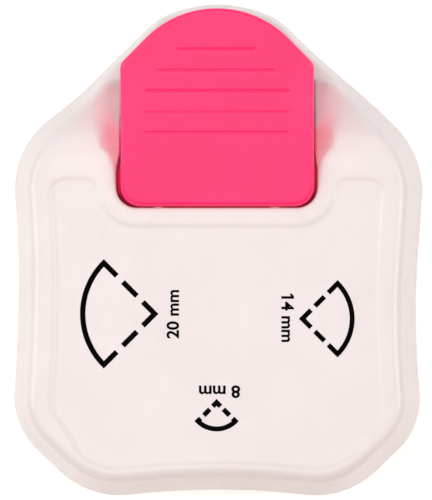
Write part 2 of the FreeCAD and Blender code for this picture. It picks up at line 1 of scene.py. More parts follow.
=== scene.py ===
"""Looks of a lever-operated paper tool with three corner slots.

The body stands on z = 0 and is centred on x = 0. Its front edge faces -Y, the lever is at
the rear (+Y) and +X is to the right. Shapes are worked out in mm as distance fields,
negative inside the material, and become metres in the meshes.
"""
import json
import math
from functools import reduce
from itertools import product

import bmesh
import bpy
import numpy as np
from mathutils import Matrix, Vector


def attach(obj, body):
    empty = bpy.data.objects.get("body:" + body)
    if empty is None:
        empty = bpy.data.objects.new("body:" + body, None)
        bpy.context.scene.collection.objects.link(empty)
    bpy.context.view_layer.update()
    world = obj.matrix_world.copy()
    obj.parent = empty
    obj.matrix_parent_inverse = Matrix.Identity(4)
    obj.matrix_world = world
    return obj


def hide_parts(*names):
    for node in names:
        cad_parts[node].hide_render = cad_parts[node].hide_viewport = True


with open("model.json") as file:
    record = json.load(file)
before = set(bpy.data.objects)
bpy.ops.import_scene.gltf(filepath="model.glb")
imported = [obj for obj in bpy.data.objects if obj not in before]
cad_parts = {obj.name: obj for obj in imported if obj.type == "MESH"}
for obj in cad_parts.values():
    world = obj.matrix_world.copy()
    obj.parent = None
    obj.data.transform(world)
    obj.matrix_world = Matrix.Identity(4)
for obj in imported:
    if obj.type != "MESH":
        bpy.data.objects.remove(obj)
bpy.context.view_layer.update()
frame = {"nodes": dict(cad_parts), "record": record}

scene = bpy.context.scene
MM = 0.001


def bend(degrees, radius):
    """Outline entry for an arc that turns by an angle."""
    return radius * math.radians(degrees), radius


# ---------------------------------------------------------------- sizes (mm)
Y_FRONT = -62.905
# right half of the body outline from the front centre: length, radius
# (None is straight, negative curves inwards); an arc to the rear centre closes it
OUTLINE = [(22.6, -190.7), bend(50.9, 23.3), (8.3, None), bend(50.9, 18.65),
           (50.8, -281.8), bend(53.3, 23.3), (35.75, None)]
BODY_EXTENT = ((-54.9, 54.9), (-66.3, 66.3))        # grid limits in x and y
Z_BOT, Z_PAPER, Z_PART, Z_TOP = 1.2, 17.0, 18.6, 42.0
LEAN = 5.0 / (Z_TOP - Z_PART)                       # cover side, inwards per mm up
BASE_LEAN = 1.15 / (Z_PART - Z_BOT)                 # base side, inwards per mm down
WALL = 2.2
PANEL_DIP = 0.42
# lever opening: half width, front and rear edge, floor of the well
OPEN_HW, OPEN_Y0, OPEN_Y1, WELL_Z = 25.8, 10.9, 44.0, 22.3
# lever pad: half width, front edge, height there, rise towards the rear
PAD_HW, PAD_Y0, PAD_Z0, PAD_SLOPE = 24.7, 11.3, 43.5, math.radians(11.8)
HOUSING_SCREWS = [(-33.0, -52.0), (33.0, -52.0), (-43.0, 22.0), (43.0, 22.0)]
PLATE_SCREWS = [(-33.0, -43.5), (33.0, -43.5), (-22.0, 6.5), (22.0, 6.5)]
POSTS = [(-23.5, -38.0), (23.5, -38.0), (0.0, 2.5)]
# paper slots: corner radius, apex x and y, direction x and y in which the apex points
SLOTS = [(20.0, -14.8, -16.2, 1.0, 0.0), (14.0, 21.3, -17.3, -1.0, 0.0),
         (8.0, 0.0, -38.4, 0.0, 1.0)]


# ---------------------------------------------------------------- field helpers
def meet(*fields):
    """Sharp intersection."""
    return reduce(np.maximum, fields)


def join(*fields):
    """Sharp union."""
    return reduce(np.minimum, fields)


def round_meet(a, b, radius):
    """Intersection with a rounded edge."""
    corner = np.hypot(np.maximum(a + radius, 0), np.maximum(b + radius, 0))
    return np.minimum(np.maximum(a, b), -radius) + corner


def round_join(a, b, radius):
    return -round_meet(-a, -b, radius)


def carve(body, tool, edge=None):
    """Body without the tool; edge is the rounding radius, None is sharp."""
    return meet(body, -tool) if edge is None else round_meet(body, -tool, edge)


def between(value, low, high):
    return meet(low - value, value - high)


def smooth_step(start, end, value):
    t = np.clip((value - start) / (end - start), 0, 1)
    return t * t * (3 - 2 * t)


def cylinder(space, centre, radius, low=-math.inf, high=math.inf):
    """Upright cylinder between two heights."""
    x, y, z = space
    return meet(np.hypot(x - centre[0], y - centre[1]) - radius, between(z, low, high))


def rounded_rectangle(x, y, half_x, half_y, radius):
    over_x, over_y = np.abs(x) - half_x + radius, np.abs(y) - half_y + radius
    outside = np.hypot(np.maximum(over_x, 0), np.maximum(over_y, 0))
    return np.minimum(np.maximum(over_x, over_y), 0) + outside - radius


def path_field(path, across, along, batch=6000):
    """Signed distance to an open path, negative on its left."""
    start = path[:-1]
    run = path[1:] - start
    length2 = (run ** 2).sum(1)
    points = np.stack([across.ravel(), along.ravel()], 1)
    out = np.empty(len(points))
    for i in range(0, len(points), batch):
        offset = points[i:i + batch][:, None, :] - start[None]
        t = np.clip((offset * run).sum(2) / length2, 0, 1)
        rest = offset - t[..., None] * run
        dist2 = (rest ** 2).sum(2)
        j = dist2.argmin(1)
        k = np.arange(len(j))
        cross = run[j, 0] * rest[k, j, 1] - run[j, 1] * rest[k, j, 0]
        out[i:i + batch] = np.where(cross > 0, -1.0, 1.0) * np.sqrt(dist2[k, j])
    return out.reshape(across.shape).astype(np.float32)


def side_field(path, y, z):
    """Field of a side profile drawn in y and z."""
    return path_field(path, *np.broadcast_arrays(y[0], z[0]))[None]


def grid(extents, pitch):
    """Coordinate arrays x, y and z that broadcast to the whole grid."""
    shapes = ((-1, 1, 1), (1, -1, 1), (1, 1, -1))
    return [(np.arange(round((high - low) / pitch) + 1) * pitch + low)
            .astype(np.float32).reshape(shape) for (low, high), shape in zip(extents, shapes)]


def surface_nets(field, space, pitch):
    """Closed quad mesh of the field's zero surface: (vertices, faces)."""
    field = field.astype(np.float32)
    inside = field < 0
    shape = tuple(n - 1 for n in inside.shape)
    count = np.zeros(shape, np.int8)
    for corner in product((0, 1), repeat=3):
        count += inside[tuple(slice(c, n + c) for c, n in zip(corner, shape))]
    active = (count > 0) & (count < 8)
    i, j, k = np.nonzero(active)
    index = np.full(shape, -1, np.int32)
    index[i, j, k] = np.arange(len(i))

    # one vertex per crossed cell, at the mean of its edge crossings
    total = np.zeros((len(i), 3))
    crossings = np.zeros(len(i))
    for axis in range(3):
        for ends in product((0, 1), repeat=2):
            low = list(ends)
            low.insert(axis, 0)
            high = list(ends)
            high.insert(axis, 1)
            f0 = field[i + low[0], j + low[1], k + low[2]].astype(np.float64)
            f1 = field[i + high[0], j + high[1], k + high[2]].astype(np.float64)
            crossed = (f0 < 0) != (f1 < 0)
            t = np.where(crossed, f0 / np.where(crossed, f0 - f1, 1.0), 0.0)
            for a in range(3):
                total[:, a] += crossed * (low[a] + (t if a == axis else 0.0))
            crossings += crossed
    origin = np.array([values[0, 0, 0] for values in space])
    vertices = (total / crossings[:, None] + np.stack([i, j, k], 1)) * pitch + origin

    # one quad per crossed grid edge, through the four cells around it
    faces = []
    for axis in range(3):
        b, c = (axis + 1) % 3, (axis + 2) % 3
        before, after = [slice(None)] * 3, [slice(None)] * 3
        before[axis], after[axis] = slice(0, -1), slice(1, None)
        first, second = inside[tuple(before)], inside[tuple(after)]
        edge = np.stack(np.nonzero(first != second), 1)
        edge = edge[(edge[:, b] > 0) & (edge[:, c] > 0)
                    & (edge[:, b] < shape[b]) & (edge[:, c] < shape[c])]
        outwards = first[tuple(edge.T)]
        quad = []
        for step_b, step_c in ((-1, -1), (0, -1), (0, 0), (-1, 0)):
            cell = edge.copy()
            cell[:, b] += step_b
            cell[:, c] += step_c
            quad.append(index[tuple(cell.T)])
        quad = np.stack(quad, 1)
        quad[~outwards] = quad[~outwards][:, ::-1]
        faces.append(quad)
    return vertices, np.concatenate(faces)


def add_object(name, data):
    ob = bpy.data.objects.new(name, data)
    scene.collection.objects.link(ob)
    return ob


def mesh_object(name, vertices, faces, smooth=True):
    """Object from vertices in mm and faces that all have the same corner count."""
    me = bpy.data.meshes.new(name)
    me.vertices.add(len(vertices))
    metres = (np.asarray(vertices, np.float64) * MM).astype(np.float32)
    me.vertices.foreach_set("co", metres.ravel())
    corners = faces.shape[1]
    me.loops.add(faces.size)
    me.loops.foreach_set("vertex_index", faces.astype(np.int32).ravel())
    me.polygons.add(len(faces))
    me.polygons.foreach_set("loop_start", np.arange(0, faces.size, corners, dtype=np.int32))
    me.polygons.foreach_set("use_smooth", np.full(len(faces), smooth, bool))
    me.update(calc_edges=True)
    me.validate()
    return add_object(name, me)


# ---------------------------------------------------------------- body outline and plan shapes
def half_outline(step=0.6):
    """Right half of the body outline, front centre to rear centre."""
    x, y, heading = 0.0, Y_FRONT, 0.0
    points = [(x, y)]
    for length, radius in [*OUTLINE, (None, None)]:
        if length is None:                          # the closing arc is centred on x = 0
            radius = x / math.sin(heading)
            length = radius * (math.pi - heading)
        n = max(2, int(length / step))
        for j in range(1, n + 1):
            run = length * j / n
            if radius is None:
                points.append((x + run * math.cos(heading), y + run * math.sin(heading)))
            else:
                end = heading + run / radius
                points.append((x + radius * (math.sin(end) - math.sin(heading)),
                               y + radius * (math.cos(heading) - math.cos(end))))
        x, y = points[-1]
        if radius is not None:
            heading += length / radius
    return np.array(points)


HALF_OUTLINE = half_outline()

# deviations of the moulded outline, outwards
# along a side: height, centre y, reach, x where it starts, x where it is full
SIDE_SWELLS = [(0.55, -24, 24, -30.0, -45.0), (0.60, 6, 15, 30.0, 45.0)]
# at a spot: height, centre x and y, reach, whether it is on both sides
SPOT_SWELLS = [(0.35, 37, 37, 8, False), (-0.75, -34, 40, 9, False), (0.60, 14, 58, 6, True)]


def outline_field(x, y):
    plan_x, plan_y = np.broadcast_arrays(x[:, :, 0], y[:, :, 0])
    columns = plan_x.shape[0]
    n = (columns + 1) // 2
    half = path_field(HALF_OUTLINE, np.abs(plan_x[:n]), plan_y[:n])
    # the grid is symmetric about x = 0
    return np.concatenate([half, half[::-1][columns % 2:]])[:, :, None]


def swell(x, y):
    out = 0.0
    for height, centre, reach, start, full in SIDE_SWELLS:
        out = out + height * np.exp(-((y - centre) / reach) ** 2) * smooth_step(start, full, x)
    for height, centre_x, centre_y, reach, both in SPOT_SWELLS:
        off_x = (np.abs(x) if both else x) - centre_x
        out = out + height * np.exp(-(off_x / reach) ** 2 - ((y - centre_y) / reach) ** 2)
    return out.astype(np.float32)


def slot_plan(x, y, slot):
    """Plan field of a paper slot, a 90 degree wedge."""
    _, apex_x, apex_y, dir_x, dir_y = slot
    ahead = (x - apex_x) * dir_x + (y - apex_y) * dir_y
    aside = np.abs(-(x - apex_x) * dir_y + (y - apex_y) * dir_x)
    return (ahead + aside) * math.sqrt(0.5)


def pocket_plan(x, y, slot, clearance=1.2, margin=1.5):
    """Plan field of a slot's pocket: the corner of a square outside the slot's arc."""
    radius, apex_x, apex_y, dir_x, dir_y = slot
    arc_x = apex_x - dir_x * radius * math.sqrt(2)
    arc_y = apex_y - dir_y * radius * math.sqrt(2)
    half = (radius + margin) / math.sqrt(2)
    off_x, off_y = x - (arc_x + dir_x * half), y - (arc_y + dir_y * half)
    square = (np.abs(off_x) + np.abs(off_y) - half) * math.sqrt(0.5) - clearance
    return meet(square, (radius - clearance) - np.hypot(x - arc_x, y - arc_y))


def opening_plan(x, y):
    """Plan field of the lever opening: square rear, rounded front corners."""
    far_end, corner_radius = 60.0, 5.2
    centre_y = (OPEN_Y0 + far_end) / 2
    plan = rounded_rectangle(x, y - centre_y, OPEN_HW, centre_y - OPEN_Y0, corner_radius)
    narrowing = smooth_step(20.0, 25.5, y) * np.where(x > 0, 0.55, 0.85)
    return plan + narrowing * (np.abs(x) > 20) * (y < 50)


def arc_through(p, q, r, n=14):
    """Points along the circle from p through q to r."""
    (ax, ay), (bx, by), (cx, cy) = p, q, r
    a2, b2, c2 = ax * ax + ay * ay, bx * bx + by * by, cx * cx + cy * cy
    d = 2 * (ax * (by - cy) + bx * (cy - ay) + cx * (ay - by))
    centre_x = (a2 * (by - cy) + b2 * (cy - ay) + c2 * (ay - by)) / d
    centre_y = (a2 * (cx - bx) + b2 * (ax - cx) + c2 * (bx - ax)) / d
    radius = math.hypot(ax - centre_x, ay - centre_y)
    start, middle, end = (math.atan2(v - centre_y, u - centre_x) for u, v in (p, q, r))
    sweep = (end - start) % math.tau
    if (middle - start) % math.tau > sweep:
        sweep -= math.tau
    angles = [start + sweep * t / n for t in range(n + 1)]
    return [(centre_x + radius * math.cos(a), centre_y + radius * math.sin(a)) for a in angles]


# ---------------------------------------------------------------- top cover
# side profile (y, z) of the top, rear to front: tongue, hollow, fall, round shoulder, flat
TOP_PROFILE = np.array([(-90.0, Z_TOP), (23.0, Z_TOP)]
                       + arc_through((23.0, Z_TOP), (27.09, 41.39), (30.83, 39.61))[1:]
                       + arc_through((37.5, 35.11), (39.94, 33.76), (42.58, 32.85))
                       + [(75.0, 24.78), (90.0, 21.0)])[::-1]
PANEL_INSET, PANEL_GAP, PANEL_REAR = 10.6, 4.7, 18.4    # from outline, from opening, rear y
TONGUE_Z, TONGUE_FALL = 27.84, 0.1497               # at the opening's rear edge, per mm rearwards
LEAD_IN_DEPTH, LEAD_IN_RISE = 1.8, 0.9
# inclined faces beside the lever: start y, length of the flare, slope per mm outwards
FACE_Y, FLARE_RUN, FACE_SLOPE = 17.6, 9.3, 0.62
FACE_WIDTH, FLARE_WIDTH, FACE_WIDTH_MAX = 0.65, 5.2, 4.4
TOP_WALL, FACE_WALL = 2.3, 2.1
LINING_X, LINING_HALF, LINING_REAR = 26.1, 1.3, 45.6    # walls round the well
LINING_Z = WELL_Z - 1.6


def cover_outside(space, from_outline, side, fall, notch):
    """Outer skin and well, and the top field before the notches."""
    x, y, z = space
    opening = opening_plan(x, y)
    # shallow panel in the flat top, held off the rim and off the lever opening
    rim = from_outline + PANEL_INSET - 2.4 * smooth_step(-44.0, -54.0, y)
    panel = round_meet(round_meet(rim, PANEL_GAP - opening, 3.2), y - PANEL_REAR, 3.6)
    dip = PANEL_DIP * smooth_step(0.75, -0.75, panel)
    # behind the lever opening the ears step down to a lower tongue
    tongue = (z - TONGUE_Z + TONGUE_FALL * (y - OPEN_Y1)) / math.hypot(1, TONGUE_FALL)
    top = round_meet(fall + dip, round_join(y - OPEN_Y1, tongue, 1.1), 0.75)
    # the edge is rounder at the front, tighter at the rear
    edge = 2.0 + 0.6 * smooth_step(-50.0, -58.0, y) - 0.3 * smooth_step(24.0, 32.0, y)
    outer = round_meet(side, top, edge)
    # paper slot mouths: a lead-in along the lower edge
    lead = np.zeros_like(from_outline)
    for slot in SLOTS:
        near = np.clip((from_outline + LEAD_IN_DEPTH) / LEAD_IN_DEPTH, 0, 1)
        lead = meet(lead, near * smooth_step(0.6, -1.2, slot_plan(x, y, slot)))
    outer = round_meet(outer, (Z_PART + LEAD_IN_RISE * lead) - z, 0.35)
    outer = carve(outer, notch, edge=0.25 + 1.1 * smooth_step(28.0, 33.0, y))
    # well for the lever, with a tight lip
    well = meet(opening, y - OPEN_Y1, WELL_Z - z)
    return carve(outer, well, edge=0.85 - 0.45 * smooth_step(11.5, 15.5, y)), top


def side_notches(space, fall):
    """Cuts beside the lever, under a face that widens towards the rear."""
    x, y, _ = space
    t = np.clip(y - FACE_Y, 0, FLARE_RUN) / FLARE_RUN
    width = FACE_WIDTH + FLARE_WIDTH * (1.0 - np.sqrt(np.clip(1.0 - t ** 2, 0, 1)))
    width = np.minimum(width, FACE_WIDTH_MAX)
    face = (fall + (width - (np.abs(x) - OPEN_HW)) * FACE_SLOPE) / math.hypot(1, FACE_SLOPE)
    return meet(-face, OPEN_HW - 0.6 - np.abs(x), 16.8 - y)


def well_lining(space):
    """Side walls, rear wall and floor round the lever's well."""
    x, y, z = space
    off_x = np.abs(x)
    sides = meet(np.abs(off_x - LINING_X) - LINING_HALF, between(y, 14.0, LINING_REAR))
    rear = meet(off_x - 27.4, between(y, 43.5, LINING_REAR))
    walls = meet(join(sides, rear), LINING_Z - z)
    floor = meet(off_x - 26.9, between(y, 13.5, LINING_REAR),
                 between(z, LINING_Z, WELL_Z + 0.2))
    return join(walls, floor)


def build_cover(pitch):
    x, y, z = space = grid((*BODY_EXTENT, (17.4, 43.5)), pitch)
    from_outline = outline_field(x, y)
    fall = side_field(TOP_PROFILE, y, z)            # positive above the profile
    square = 1 / math.hypot(1, LEAN)                # true distance from a leaning face
    side = (from_outline - swell(x, y) + LEAN * (z - Z_PART)) * square
    notch = side_notches(space, fall)
    outer, top = cover_outside(space, from_outline, side, fall, notch)

    inner_side = (from_outline + WALL + LEAN * (z - Z_PART)) * square
    inner = round_meet(inner_side, top + TOP_WALL, 1.5)
    inner = carve(inner, well_lining(space), edge=0.5)
    inner = meet(inner, FACE_WALL - notch)
    for screw in HOUSING_SCREWS:
        boss_z = 20.65 if screw[1] < 0 else Z_PART + 0.02
        inner = carve(inner, cylinder(space, screw, radius=4.0, low=boss_z), edge=0.6)
    body = carve(outer, inner)
    for screw in HOUSING_SCREWS:
        body = carve(body, cylinder(space, screw, radius=1.55, high=35.0))
    return surface_nets(body, space, pitch)


# ---------------------------------------------------------------- base shell
BASE_INSET = 0.35                   # step in from the cover at the parting line
BASE_WALL, DECK_RIM = 3.9, 6.0
DECK_BOTTOM, DECK_TOP = 12.0, 14.5
DECK_REAR, OPEN_FROM_Y = 12.3, 14.0     # the base is open behind the deck
BOSS_BOTTOM = 3.3
STUD_Z = {"low": 9.0, "high": 12.5}     # short studs under the deck
MOUTH_DEPTH, MOUTH_DROP = 3.2, 1.1      # paper floor dips towards the slot mouths


def build_base(pitch):
    x, y, z = space = grid((*BODY_EXTENT, (0.15, 19.95)), pitch)
    from_outline = outline_field(x, y)
    side = from_outline - swell(x, y) + BASE_INSET + BASE_LEAN * (Z_PART - z)
    body = round_meet(side, Z_BOT - z, 1.8)
    body = round_meet(body, z - (Z_PART - 0.03), 0.45)
    room = from_outline + BASE_WALL
    body = carve(body, meet(room, z - DECK_BOTTOM), edge=0.3)
    body = carve(body, meet(room, OPEN_FROM_Y - y))
    body = carve(body, meet(from_outline + DECK_RIM, y - DECK_REAR, DECK_TOP - z))
    for slot in SLOTS:
        floor = Z_PAPER - MOUTH_DROP * np.clip((from_outline + MOUTH_DEPTH) / MOUTH_DEPTH, 0, 1)
        body = carve(body, meet(slot_plan(x, y, slot), floor - z), edge=0.3)
        body = carve(body, meet(pocket_plan(x, y, slot), 11.0 - z))

    for screw in HOUSING_SCREWS:
        screw_x, screw_y = screw
        boss_top = DECK_TOP if screw_y < 0 else Z_PART
        body = join(body, cylinder(space, screw, radius=4.2, low=BOSS_BOTTOM, high=boss_top))
        if screw_y > 0:                             # rib from the boss to the side wall
            outwards = x if screw_x > 0 else -x
            body = join(body, meet(np.abs(y - screw_y) - 1.0, between(outwards, 43.0, 49.0),
                                   between(z, BOSS_BOTTOM, Z_PART)))
    for centre in POSTS:
        body = join(body, cylinder(space, centre, radius=4.0, **STUD_Z))
    for centre in PLATE_SCREWS:
        body = join(body, cylinder(space, centre, radius=3.2, **STUD_Z))

    # holes
    for centre in HOUSING_SCREWS:
        body = carve(body, cylinder(space, centre, radius=1.75))
    for centre in POSTS:
        body = carve(body, cylinder(space, centre, radius=2.55, low=11.0))
    for centre in PLATE_SCREWS:
        body = carve(body, cylinder(space, centre, radius=1.35))
    return surface_nets(body, space, pitch)


# ---------------------------------------------------------------- lever pad
PAD_EXTENT = ((-25.65, 25.65), (10.2, 62.7), (32.0, 56.0))
PAD_CORNER, PAD_SIDE_BEND = 5.0, 3.0            # radii at the front and where the chamfer starts
PAD_REAR_RADIUS, PAD_REAR_Y = 25.8, 35.7        # rear arc and its centre
PAD_WALL, PAD_TOP_WALL = 2.2, 2.5
PAD_BOSSES = list(product((-8.0, 8.0), (8.5, 26.0)))    # x, distance up the slope
CLIP_X, CLIP_Z = 15.0, 39.8                     # front cut-outs, to each side, and their top
# side profile (y, z) of the skirt's lower edge, front to rear
SKIRT_PROFILE = np.array([(-40.0, 29.0), (39.6, 36.17)]
                         + arc_through((39.6, 36.17), (41.05, 37.2), (41.9, 39.3), 6)[1:]
                         + [(42.7, 40.9)]
                         + arc_through((42.7, 40.9), (43.75, 42.25), (45.3, 42.65), 6)[1:]
                         + [(100.0, 41.3)])
# grip grooves in the top: y, left end, right end
GROOVES = [(52.0, -10.4, 9.9), (46.6, -15.0, 15.0), (41.4, -18.4, 18.6),
           (36.1, -18.7, 18.6), (30.8, -18.6, 18.4)]


def pad_outline():
    """Right half of the pad in plan: front, corner, side, 45 degree chamfer, rear arc."""
    diagonal = math.sqrt(0.5)
    arc_x = PAD_REAR_RADIUS * diagonal
    arc_y = PAD_REAR_Y + PAD_REAR_RADIUS * diagonal
    bend_y = arc_y + arc_x - PAD_HW - PAD_SIDE_BEND * math.tan(math.radians(22.5))
    points = [(0.0, PAD_Y0), (PAD_HW - PAD_CORNER, PAD_Y0)]
    points += [(PAD_HW - PAD_CORNER + PAD_CORNER * math.sin(a),
                PAD_Y0 + PAD_CORNER - PAD_CORNER * math.cos(a))
               for a in np.linspace(0, math.pi / 2, 20)[1:]]
    points += [(PAD_HW, bend_y)]
    points += [(PAD_HW - PAD_SIDE_BEND + PAD_SIDE_BEND * math.cos(a),
                bend_y + PAD_SIDE_BEND * math.sin(a))
               for a in np.linspace(0, math.pi / 4, 12)[1:]]
    points += [(PAD_REAR_RADIUS * math.cos(a), PAD_REAR_Y + PAD_REAR_RADIUS * math.sin(a))
               for a in np.linspace(math.pi / 4, math.pi / 2, 60)]
    points = np.array(points)
    return points[np.r_[True, np.hypot(*np.diff(points, axis=0).T) > 1e-6]]


def pad_draft(x, y, above):
    """How far the skirt stands out from the pad outline below its top."""
    front = 1.0 - smooth_step(19.0, 24.0, y)
    draft = 0.075 * np.clip(-0.6 - above, 0, 5.0) * (0.35 + 0.65 * front)
    side_band = np.where(x > 0, 0.62, 0.92)
    at_front = smooth_step(16.5, 13.5, y) * smooth_step(24.0, 20.0, np.abs(x))
    band = side_band + (0.66 - side_band) * at_front
    band_height = smooth_step(-5.0, -6.2, above) - smooth_step(-7.4, -8.6, above)
    return draft + (band - 0.32) * band_height * front


def groove_field(x, above, along, groove, cos_slope):
    """Groove with a steep rear wall and a ramp in front of it."""
    groove_y, left, right = groove
    wall_at = (groove_y - PAD_Y0) / cos_slope - 0.70
    steep = (along - wall_at) * 0.97 + (above + 0.2) * 0.22
    ramp = (-0.50 + 0.75 * (wall_at - along) - above) / math.hypot(1, 0.75)
    ends = np.abs(x - (left + right) / 2) - (right - left) / 2
    ends = ends + 0.25 * np.maximum(wall_at - along - 0.4, 0)
    return round_meet(round_meet(steep, ramp, 0.08), ends, 0.3)


def build_pad(pitch):
    x, y, z = space = grid(PAD_EXTENT, pitch)
    plan_x, plan_y = np.broadcast_arrays(x[:, :, 0], y[:, :, 0])
    plan = path_field(pad_outline(), np.abs(plan_x), plan_y)[:, :, None]
    cos_slope, sin_slope = math.cos(PAD_SLOPE), math.sin(PAD_SLOPE)
    # height above the sloping top, distance up the slope
    above = (z - PAD_Z0) * cos_slope - (y - PAD_Y0) * sin_slope
    along = (y - PAD_Y0) * cos_slope + (z - PAD_Z0) * sin_slope
    side = plan - pad_draft(x, y, above)
    body = round_meet(side, above, 1.1)
    body = round_meet(body, side_field(SKIRT_PROFILE, y, z), 0.45)

    from_bosses = [np.hypot(x - boss_x, along - boss_at) for boss_x, boss_at in PAD_BOSSES]
    bosses = np.full_like(body, 99.0)               # far from any boss
    for distance in from_bosses:
        bosses = join(bosses, meet(distance - 3.2, -7.5 - above))
    hollow = round_meet(side + PAD_WALL, above + PAD_TOP_WALL, 1.0)
    body = carve(body, carve(hollow, bosses, edge=0.5), edge=0.35)
    for distance in from_bosses:
        body = carve(body, meet(distance - 1.3, above + 3.6))

    # cut-outs low in the front wall, each with a lip above
    from_clip = np.abs(np.abs(x) - CLIP_X)
    body = carve(body, meet(from_clip - 1.35, y - (PAD_Y0 + 2.8), z - CLIP_Z))
    body = join(body, meet(from_clip - 1.9, between(y, 11.05, 12.8), between(z, CLIP_Z, 41.0)))
    for groove in GROOVES:
        body = carve(body, groove_field(x, above, along, groove, cos_slope), edge=0.1)
    return surface_nets(body, space, pitch)


PAD_SHIFT = (0.2, 0.0, 0.0)         # the pad sits slightly to the right

cover = mesh_object("top_cover_moulding", *build_cover(pitch=0.45))
base = mesh_object("base_moulding", *build_base(pitch=0.6))
pad_vertices, pad_faces = build_pad(pitch=0.25)
pad = mesh_object("lever_pad_moulding", pad_vertices + np.array(PAD_SHIFT), pad_faces)


# ---------------------------------------------------------------- printed marks
INK_Z0, INK_Z1 = Z_TOP - PANEL_DIP - 0.02, Z_TOP - PANEL_DIP + 0.035


def strip(points, width):
    """Closed thin band along a path with mitred corners: (vertices, quads)."""
    path = np.array(points, float)
    run = np.diff(path, axis=0)
    run /= np.linalg.norm(run, axis=1)[:, None]
    normal = np.stack([-run[:, 1], run[:, 0]], 1)
    mitre = np.zeros_like(path)
    mitre[0], mitre[-1] = normal[0], normal[-1]
    n = len(path)
    for i in range(1, n - 1):
        both = normal[i - 1] + normal[i]
        mitre[i] = both / (both @ normal[i])
    left, right = path + mitre * width / 2, path - mitre * width / 2
    vertices = [(x, y, z) for z in (INK_Z0, INK_Z1) for side in (left, right) for x, y in side]
    low_l, low_r, top_l, top_r = 0, n, 2 * n, 3 * n     # first vertex of each rail
    quads = []
    for i in range(n - 1):
        j = i + 1
        quads += [(top_l + i, top_r + i, top_r + j, top_l + j),
                  (low_l + j, low_r + j, low_r + i, low_l + i),
                  (low_l + i, top_l + i, top_l + j, low_l + j),
                  (top_r + i, low_r + i, low_r + j, top_r + j)]
    end = n - 1
    quads += [(low_l, low_r, top_r, top_l),
              (low_r + end, low_l + end, top_l + end, top_r + end)]
    return vertices, quads


def symbol(name, apex, heading, radius, width, dashes):
    """Quarter circle with two dashed radii; heading (degrees) points from apex to arc.

    dashes: dash, gap, dash, gap, dash from the arc to the apex, in proportion.
    """
    middle = math.radians(heading)
    spokes = [(math.cos(a), math.sin(a)) for a in (middle - math.pi / 4, middle + math.pi / 4)]

    def on(spoke, distance):
        return apex[0] + spoke[0] * distance, apex[1] + spoke[1] * distance

    outer, gap_1, mid, _, inner = [v * radius / sum(dashes) for v in dashes]
    arc = [on((math.cos(middle + t), math.sin(middle + t)), radius)
           for t in np.linspace(-math.pi / 4, math.pi / 4, 41)]
    lines = [[on(spokes[0], radius - outer)] + arc + [on(spokes[1], radius - outer)]]
    for spoke in spokes:
        lines.append([on(spoke, radius - outer - gap_1), on(spoke, radius - outer - gap_1 - mid)])
    lines.append([on(spokes[0], inner), apex, on(spokes[1], inner)])
    vertices, quads = [], []
    for line in lines:
        line_vertices, line_quads = strip(line, width)
        first = len(vertices)
        vertices += line_vertices
        quads += [tuple(v + first for v in quad) for quad in line_quads]
    return mesh_object(name, vertices, np.array(quads), smooth=False)


def label(name, text, centre, turn, length, cap):
    """Text stretched to a length and cap height, turned by an angle in degrees."""
    curve = bpy.data.curves.new(name, "FONT")
    curve.body = text
    curve.size = 1.0
    curve.offset = 0.026
    curve.extrude = 0.5
    curve.resolution_u = 6
    text_object = add_object(name + "_tmp", curve)
    bpy.context.view_layer.update()
    me = bpy.data.meshes.new_from_object(text_object)
    bpy.data.objects.remove(text_object)
    co = np.array([v.co for v in me.vertices])
    low, high = co.min(0), co.max(0)
    x, y, z = ((co - (low + high) / 2) / (high - low)).T
    x, y = x * length, y * cap
    cos, sin = math.cos(math.radians(turn)), math.sin(math.radians(turn))
    placed = np.stack([x * cos - y * sin + centre[0], x * sin + y * cos + centre[1],
                       np.where(z > 0, INK_Z1, INK_Z0)], 1) * MM
    me.vertices.foreach_set("co", placed.astype(np.float32).ravel())
    me.update()
    bm = bmesh.new()
    bm.from_mesh(me)
    bmesh.ops.remove_doubles(bm, verts=bm.verts, dist=1e-6)
    bmesh.ops.recalc_face_normals(bm, faces=bm.faces)
    bm.to_mesh(me)
    bm.free()
    return add_object(name, me)


marks = [
    symbol("mark_20", apex=(-15.9, -16.4), heading=180.0, radius=18.5, width=1.38,
           dashes=(4.8, 2.27, 5.2, 2.2, 4.4)),
    symbol("mark_14", apex=(22.0, -17.65), heading=0.0, radius=12.8, width=1.26,
           dashes=(3.4, 1.43, 3.5, 1.45, 3.2)),
    symbol("mark_8", apex=(0.0, -39.15), heading=-90.0, radius=6.80, width=1.28,
           dashes=(1.0, 1.09, 2.2, 1.0, 1.4)),
    label("label_20", "20 mm", centre=(-11.25, -16.5), turn=90.0, length=12.5, cap=3.25),
    label("label_14", "14 mm", centre=(18.25, -17.75), turn=-90.0, length=11.8, cap=3.25),
    label("label_8", "8 mm", centre=(0.75, -36.4), turn=180.0, length=10.6, cap=3.3),
]
# flag of the figure 1
flag_vertices, flag_quads = strip([(19.72, -12.05), (18.95, -11.25)], width=0.52)
marks.append(mesh_object("label_14_flag", flag_vertices, np.array(flag_quads), smooth=False))


# ---------------------------------------------------------------- materials
def srgb(*channels):
    """Linear colour from 0-255 sRGB."""
    return [c / 12.92 if c <= 0.04045 else ((c + 0.055) / 1.055) ** 2.4
            for c in (value / 255.0 for value in channels)]


def map_range(tree, value, source, target):
    node = tree.nodes.new("ShaderNodeMapRange")
    for end, pair in (("From", source), ("To", target)):
        node.inputs[end + " Min"].default_value, node.inputs[end + " Max"].default_value = pair
    tree.links.new(value, node.inputs["Value"])
    return node.outputs["Result"]


def mix_colours(tree, factor, first, second):
    node = tree.nodes.new("ShaderNodeMix")
    node.data_type = "RGBA"
    low, high = [s for s in node.inputs if s.type == "RGBA"]
    low.default_value, high.default_value = (*first, 1), (*second, 1)
    tree.links.new(factor, node.inputs[0])
    return next(s for s in node.outputs if s.type == "RGBA")


